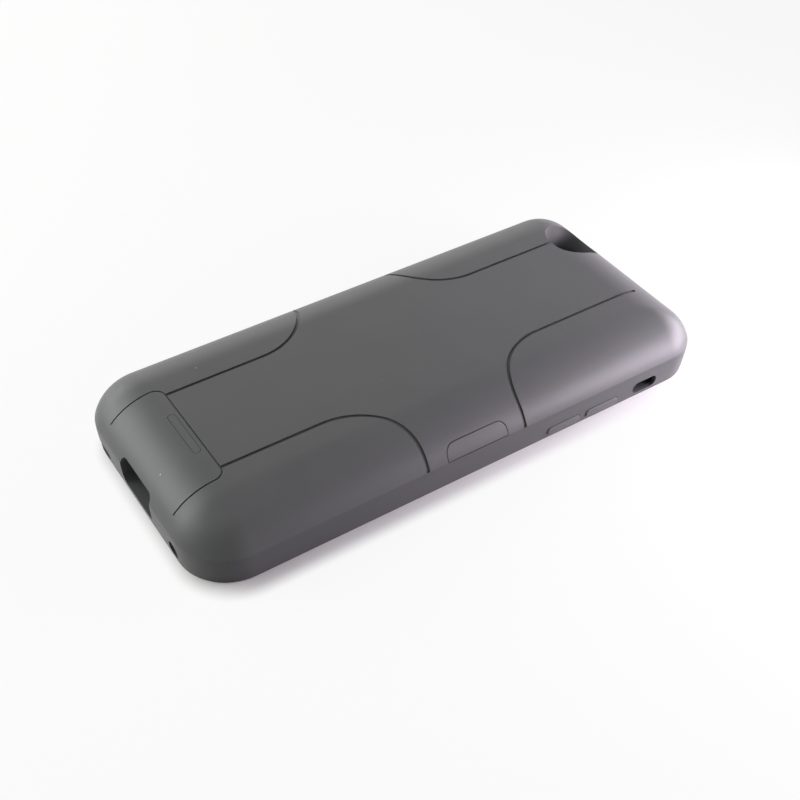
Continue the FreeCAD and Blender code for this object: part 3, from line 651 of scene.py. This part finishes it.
# %% Moulded plastics, resin and foam
painted = {}
painted["light_guide_plastic"] = finish("smoked_polycarbonate", ("#46494a", "#505354"), 6.0, 0.2, 0.006,
                                        (0.26, 0.34), {"Coat Weight": 0.15, "Coat Roughness": 0.2})
painted["tongue_plastic"] = finish("black_nylon", ("#191a1b", "#222324"), 3.0, 0.15, 0.01, (0.42, 0.55))
painted["switch_plastic"] = finish("black_moulded_switch", ("#1b1b1d", "#26262a"), 2.0, 0.12, 0.008,
                                   (0.36, 0.5))
painted["plunger_plastic"] = finish("natural_acetal", ("#d8d3c6", "#e4dfd2"), 2.0, 0.12, 0.004, (0.3, 0.4),
                                    {"Subsurface Weight": 0.1})
painted["light_body"] = finish("clear_resin_on_white", ("#dcd9c4", "#eeead6"), 1.2, 0.2, 0.004, (0.14, 0.22),
                               {"Coat Weight": 0.6})
painted["chip_resin"] = finish("black_moulding_epoxy", ("#1a1a1c", "#242427"), 2.5, 0.1, 0.008, (0.5, 0.62))
painted["foam_tape"] = finish("closed_cell_foam", ("#161617", "#242425"), 1.5, 0.4, 0.12, (0.85, 0.95))
painted["ferrite"] = finish("sintered_ferrite", ("#3a3a3c", "#4a494a"), 1.8, 0.14, 0.02, (0.55, 0.7))
painted["red_wire"] = finish("red_silicone_sleeve", ("#8f1215", "#a5191b"), 3.0, 0.3, 0.01, (0.42, 0.55))
painted["black_wire"] = finish("black_silicone_sleeve", ("#17181a", "#212224"), 3.0, 0.3, 0.01, (0.42, 0.55))
print("plastics:", len(painted))

# %% [markdown]
# ## Metals inside
# The cell sits in a pouch of laminated aluminium, dull and lightly creased. Its tabs are nickel strip with the
# dimples of spot welds, and the socket's shell is drawn steel with a bright plating. A plain metal shader would
# be right in colour but as smooth as chrome, so each gets the creases or the drawing marks of its making.

# %% Pouch foil, nickel, steel and the plug
METAL = {"Metallic": 1.0}
CREASE_MM = 7.0
FOLD_DEPTH_MM = 0.25
WELD_MM = 1.5
WELD_SHARE = 0.22

foil = painted["cell_pouch"] = finish("aluminium_laminate_pouch", ("#b9babb", "#c9cacb"), 30.0, 0.35, 0.01,
                                      (0.34, 0.46), METAL)
tree = foil.node_tree
place = add(tree, "TexCoord").outputs["Object"]
creases = add(tree, "TexNoise", {"Vector": place, "Scale": 1 / (CREASE_MM * MM), "Detail": 4.0,
                                 "Distortion": 0.6})
soft = tree.nodes["Bump"].outputs["Normal"]
folds = add(tree, "Bump", {"Height": creases.outputs["Fac"], "Distance": FOLD_DEPTH_MM * MM, "Normal": soft})
tree.links.new(folds.outputs["Normal"], tree.nodes["Principled BSDF"].inputs["Normal"])

nickel = painted["nickel_strip"] = finish("rolled_nickel", ("#b3aea4", "#c3beb4"), 2.0, 0.2, 0.006,
                                          (0.24, 0.36), METAL)
tree = nickel.node_tree
place = add(tree, "TexCoord").outputs["Object"]
welds = add(tree, "TexVoronoi", {"Vector": place, "Scale": 1 / (WELD_MM * MM), "Randomness": 0.15})
weld = add(tree, "Math", {0: welds.outputs["Distance"], 1: WELD_SHARE}, operation="LESS_THAN")
cover(nickel, weld.outputs[0], "#7d7870")

painted["socket_steel"] = finish("plated_drawn_steel", ("#b4b5b6", "#c6c7c8"), 4.0, 0.18, 0.004,
                                 (0.2, 0.32), METAL)
print("metals:", foil.name, nickel.name)

# %% [markdown]
# ## Boards, ribbon and contacts
# A circuit board is glass cloth under a green lacquer. Its copper tracks show through as paler lines with
# square bends, and its solder lands as bright dots. The square bends come from a Voronoi pattern that measures
# distance along the axes, read as contour lines. The ribbon's tracks and the gold contacts of the plug and the
# tongue are plain stripes at their real pitch. The ceramic capacitors have a tinned cap on each end. Each could
# be modelled, but none stands out by more than a hair, so a mask lays the second colour over the first finish.

# %% Stripes and bands
def stripes(tree, axis, pitch_mm, share):
    """A mask of stripes across an axis, at a pitch, of which a share is covered."""
    place = add(tree, "SeparateXYZ", {0: add(tree, "TexCoord").outputs["Object"]}).outputs[axis]
    count = add(tree, "Math", {0: place, 1: 1 / (pitch_mm * MM)}, operation="MULTIPLY")
    turn = add(tree, "Math", {0: count.outputs[0]}, operation="FRACT")
    return add(tree, "Math", {0: turn.outputs[0], 1: share}, operation="LESS_THAN").outputs[0]


def within(tree, axis, low, high):
    """A mask that is one between two places along an axis, in metres."""
    place = add(tree, "SeparateXYZ", {0: add(tree, "TexCoord").outputs["Object"]}).outputs[axis]
    middle, half = (low + high) / 2, (high - low) / 2
    return add(tree, "Math", {0: place, 1: middle, 2: half}, operation="COMPARE").outputs[0]


def overlap(tree, mask, other):
    """A mask that is one where two masks are."""
    return add(tree, "Math", {0: mask, 1: other}, operation="MULTIPLY").outputs[0]


# %% Boards
TRACK_CELL_MM = 4.0
TRACK_LINES = 5.0
TRACK_SHARE = 0.35
LAND_MM = 2.2
LAND_SHARE = 0.14

board = painted["circuit_board"] = finish("green_lacquered_board", ("#123c25", "#184a2e"), 8.0, 0.25, 0.01,
                                          (0.3, 0.42))
tree = board.node_tree
place = add(tree, "TexCoord").outputs["Object"]
cells = add(tree, "TexVoronoi", {"Vector": place, "Scale": 1 / (TRACK_CELL_MM * MM)}, distance="CHEBYCHEV")
lines = add(tree, "Math", {0: cells.outputs["Distance"], 1: TRACK_LINES}, operation="MULTIPLY")
turn = add(tree, "Math", {0: lines.outputs[0]}, operation="FRACT")
track = add(tree, "Math", {0: turn.outputs[0], 1: TRACK_SHARE}, operation="LESS_THAN")
cover(board, track.outputs[0], "#2a6a41")
dots = add(tree, "TexVoronoi", {"Vector": place, "Scale": 1 / (LAND_MM * MM), "Randomness": 0.6})
land = add(tree, "Math", {0: dots.outputs["Distance"], 1: LAND_SHARE}, operation="LESS_THAN")
cover(board, land.outputs[0], "#c4c2ba", metal=True)
print("board:", board.name)

# %% Ribbon and the tongue's contacts
RIBBON_PITCH_MM = 0.7
RIBBON_SHARE = 0.5
TONGUE_PITCH_MM = 0.65
TONGUE_SHARE = 0.45
GOLD = "#c9a24a"

ribbon = painted["ribbon_film"] = finish("polyimide_ribbon", ("#8a4d14", "#9c5a1a"), 5.0, 0.3, 0.01,
                                         (0.24, 0.34))
cover(ribbon, stripes(ribbon.node_tree, "Z", RIBBON_PITCH_MM, RIBBON_SHARE), "#b5732c")

# The plug's base has the same nylon, so the contacts are kept to the tongue's own length
tongue = painted["tongue_plastic"]
tongue_low, tongue_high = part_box("socket_tongue")
tree = tongue.node_tree
blade = within(tree, "Y", tongue_low.y, tongue_high.y)
cover(tongue, overlap(tree, blade, stripes(tree, "X", TONGUE_PITCH_MM, TONGUE_SHARE)), GOLD, metal=True)
print("striped:", ribbon.name, tongue.name)

# %% Plug
CONTACT_PITCH_MM = 0.8
CONTACT_SHARE = 0.6
PLUG_TIP_MM = 1.2
PLUG_ROOT_MM = 3.4
PLUG_RIM_MM = 0.9

plug = painted["plug_metal"] = finish("brushed_stainless_plug", ("#a9aaab", "#bcbdbe"), 3.0, 0.16, 0.004,
                                      (0.26, 0.38), METAL)
plug_low, plug_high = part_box("phone_plug")
tree = plug.node_tree
reach = within(tree, "Y", plug_high.y - PLUG_ROOT_MM * MM, plug_high.y - PLUG_TIP_MM * MM)
middle = within(tree, "X", plug_low.x + PLUG_RIM_MM * MM, plug_high.x - PLUG_RIM_MM * MM)
panel = overlap(tree, reach, middle)
cover(plug, panel, "#d9d8d3")
cover(plug, overlap(tree, panel, stripes(tree, "X", CONTACT_PITCH_MM, CONTACT_SHARE)), GOLD)
print("plug:", plug.name)

# %% Capacitors
CAP_MM = 0.3

ceramic = painted["capacitor_ceramic"] = finish("tan_ceramic", ("#8a6a47", "#987753"), 0.8, 0.1, 0.006,
                                                (0.4, 0.5))
row_low, row_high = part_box("capacitors")
tree = ceramic.node_tree
body = within(tree, "Y", row_low.y + CAP_MM * MM, row_high.y - CAP_MM * MM)
caps = add(tree, "Math", {0: 1.0, 1: body}, operation="SUBTRACT").outputs[0]
cover(ceramic, caps, "#b9b9b6", metal=True)
print("capacitors:", ceramic.name)

# %% Give each remaining solid its finish
for part in frame["record"]["subparts"]:
    if part["material_slot"] in painted:
        nodes[part["node"]].material_slots[0].material = painted[part["material_slot"]]
        print(part["node"], "is", painted[part["material_slot"]].name)

# %% [markdown]
# ## Table and light
# The case lies on a white table in a white room, between soft lamps. A broad one overhead lights the back, a
# group to the left lights the charging end, and small low ones to the right give the keys' side and the camera
# end their bloom. The side towards the camera has no lamp and stays dark. A white backdrop could be lit until
# it burns out, but that light would wash over the case. So the table is a plain white surface, mixed with a
# white that only the camera and reflections see, and the room behind it is white to the same rays alone. On
# the table that white fades out close to the case, and a little more on the near side: a painted contact
# shadow round the case's outline, which the case's sides also show where they reflect the table. The shadow
# that the lamps cast on the plain white part stays as well.

# %% What only the camera and reflections see
def seen(tree):
    """One for the camera's rays and for those in reflections and through glass, and nought for the rest."""
    rays = add(tree, "LightPath").outputs
    mask = rays["Is Camera Ray"]
    for kind in ("Is Glossy Ray", "Is Transmission Ray"):
        mask = add(tree, "Math", {0: mask, 1: rays[kind]}, operation="MAXIMUM").outputs[0]
    return mask


# %% Table
TABLE_SIZE = 3.0
TABLE_GLOW = 0.88
# Millimetres from the case's outline where the seen white starts and is full, and the painted shadow's shift to
# the near side
GLOW_STARTS = -2.0
GLOW_FULL = 3.0
PAINTED_SHADOW_SHIFT = 3.0

bm = bmesh.new()
bmesh.ops.create_grid(bm, x_segments=1, y_segments=1, size=TABLE_SIZE)
table_mesh = bpy.data.meshes.new("table")
bm.to_mesh(table_mesh)
bm.free()
link("table", table_mesh)
table_white = bpy.data.materials.new("white_table")
table_white.use_nodes = True
tree = table_white.node_tree
tree.nodes.remove(tree.nodes["Principled BSDF"])
place = add(tree, "SeparateXYZ", {0: add(tree, "TexCoord").outputs["Object"]}).outputs
past = []
for axis, half, shift in (("X", SIDE, PAINTED_SHADOW_SHIFT), ("Y", END, 0.0)):
    moved = add(tree, "Math", {0: place[axis], 1: shift * MM}, operation="SUBTRACT").outputs[0]
    far = add(tree, "Math", {0: moved}, operation="ABSOLUTE").outputs[0]
    over = add(tree, "Math", {0: far, 1: (half - CORNERS[0]) * MM}, operation="SUBTRACT").outputs[0]
    past.append(add(tree, "Math", {0: over, 1: 0.0}, operation="MAXIMUM").outputs[0])
corner = add(tree, "CombineXYZ", {"X": past[0], "Y": past[1]}).outputs[0]
gap = add(tree, "VectorMath", {0: corner}, operation="LENGTH").outputs["Value"]
# Painted shadow: the seen white is held back close to the case's outline, and further out on the near side
glow_past_painted_shadow = add(tree, "MapRange", {"Value": gap, "From Min": (CORNERS[0] + GLOW_STARTS) * MM,
                              "From Max": (CORNERS[0] + GLOW_FULL) * MM, "To Max": TABLE_GLOW},
           interpolation_type="SMOOTHSTEP").outputs["Result"]
share = add(tree, "Math", {0: seen(tree), 1: glow_past_painted_shadow}, operation="MULTIPLY")
plain = add(tree, "BsdfDiffuse", {"Color": linear("#f4f4f2")})
white = add(tree, "Emission", {"Color": linear("#ffffff"), "Strength": 1.0})
both = add(tree, "MixShader", {0: share.outputs[0], 1: plain.outputs[0], 2: white.outputs[0]})
tree.links.new(both.outputs[0], tree.nodes["Material Output"].inputs["Surface"])
table_mesh.materials.append(table_white)
print("table:", table_white.name)

# %% Lamps
def softbox(name, direction, distance, size, level, tone="#ffffff"):
    """A lamp of a width and height that faces the case. Its level is the brightness of its face."""
    lamp = link(name, bpy.data.lights.new(name, "AREA"))
    lamp.data.shape = "RECTANGLE"
    lamp.data.size, lamp.data.size_y = size
    lamp.data.energy = level * math.pi * size[0] * size[1]
    lamp.data.color = linear(tone)[:3]
    aim = Vector(direction).normalized()
    lamp.matrix_world = Matrix.Translation(aim * distance) @ aim.to_track_quat("Z", "Y").to_matrix().to_4x4()
    print(name, "power", round(lamp.data.energy, 2), "W")


softbox("overhead", (0.1, -0.1, 1), 0.9, (0.6, 0.6), 0.85)
softbox("far", (-0.9, 0.2, 0.3), 0.5, (0.6, 0.2), 1.1, "#fffcf4")
softbox("left", (-0.75, -0.6, 0.38), 0.55, (0.5, 0.35), 3.25)
softbox("charging_end", (-0.45, -0.8, 0.5), 0.55, (0.5, 0.35), 2.15)
softbox("top_left", (0.2, -0.5, 0.85), 0.45, (0.25, 0.25), 0.9)
softbox("right", (0.6, 0.77, 0.16), 0.3, (0.26, 0.085), 8.0, "#fdeeff")
softbox("near_right", (0.68, 0.7, 0.25), 0.19, (0.12, 0.08), 5.6, "#fdeeff")
softbox("camera_end", (0.35, 0.85, 0.18), 0.17, (0.12, 0.062), 9.6, "#fdf4ff")

# %% White room
WORLD_LEVEL = 0.02
world = bpy.data.worlds.new("studio")
bpy.context.scene.world = world
world.use_nodes = True
tree = world.node_tree
level = add(tree, "MapRange", {"Value": seen(tree), "To Min": WORLD_LEVEL, "To Max": 1.0})
tree.nodes["Background"].inputs["Color"].default_value = linear("#ffffff")
tree.links.new(level.outputs["Result"], tree.nodes["Background"].inputs["Strength"])
print("room:", world.name)
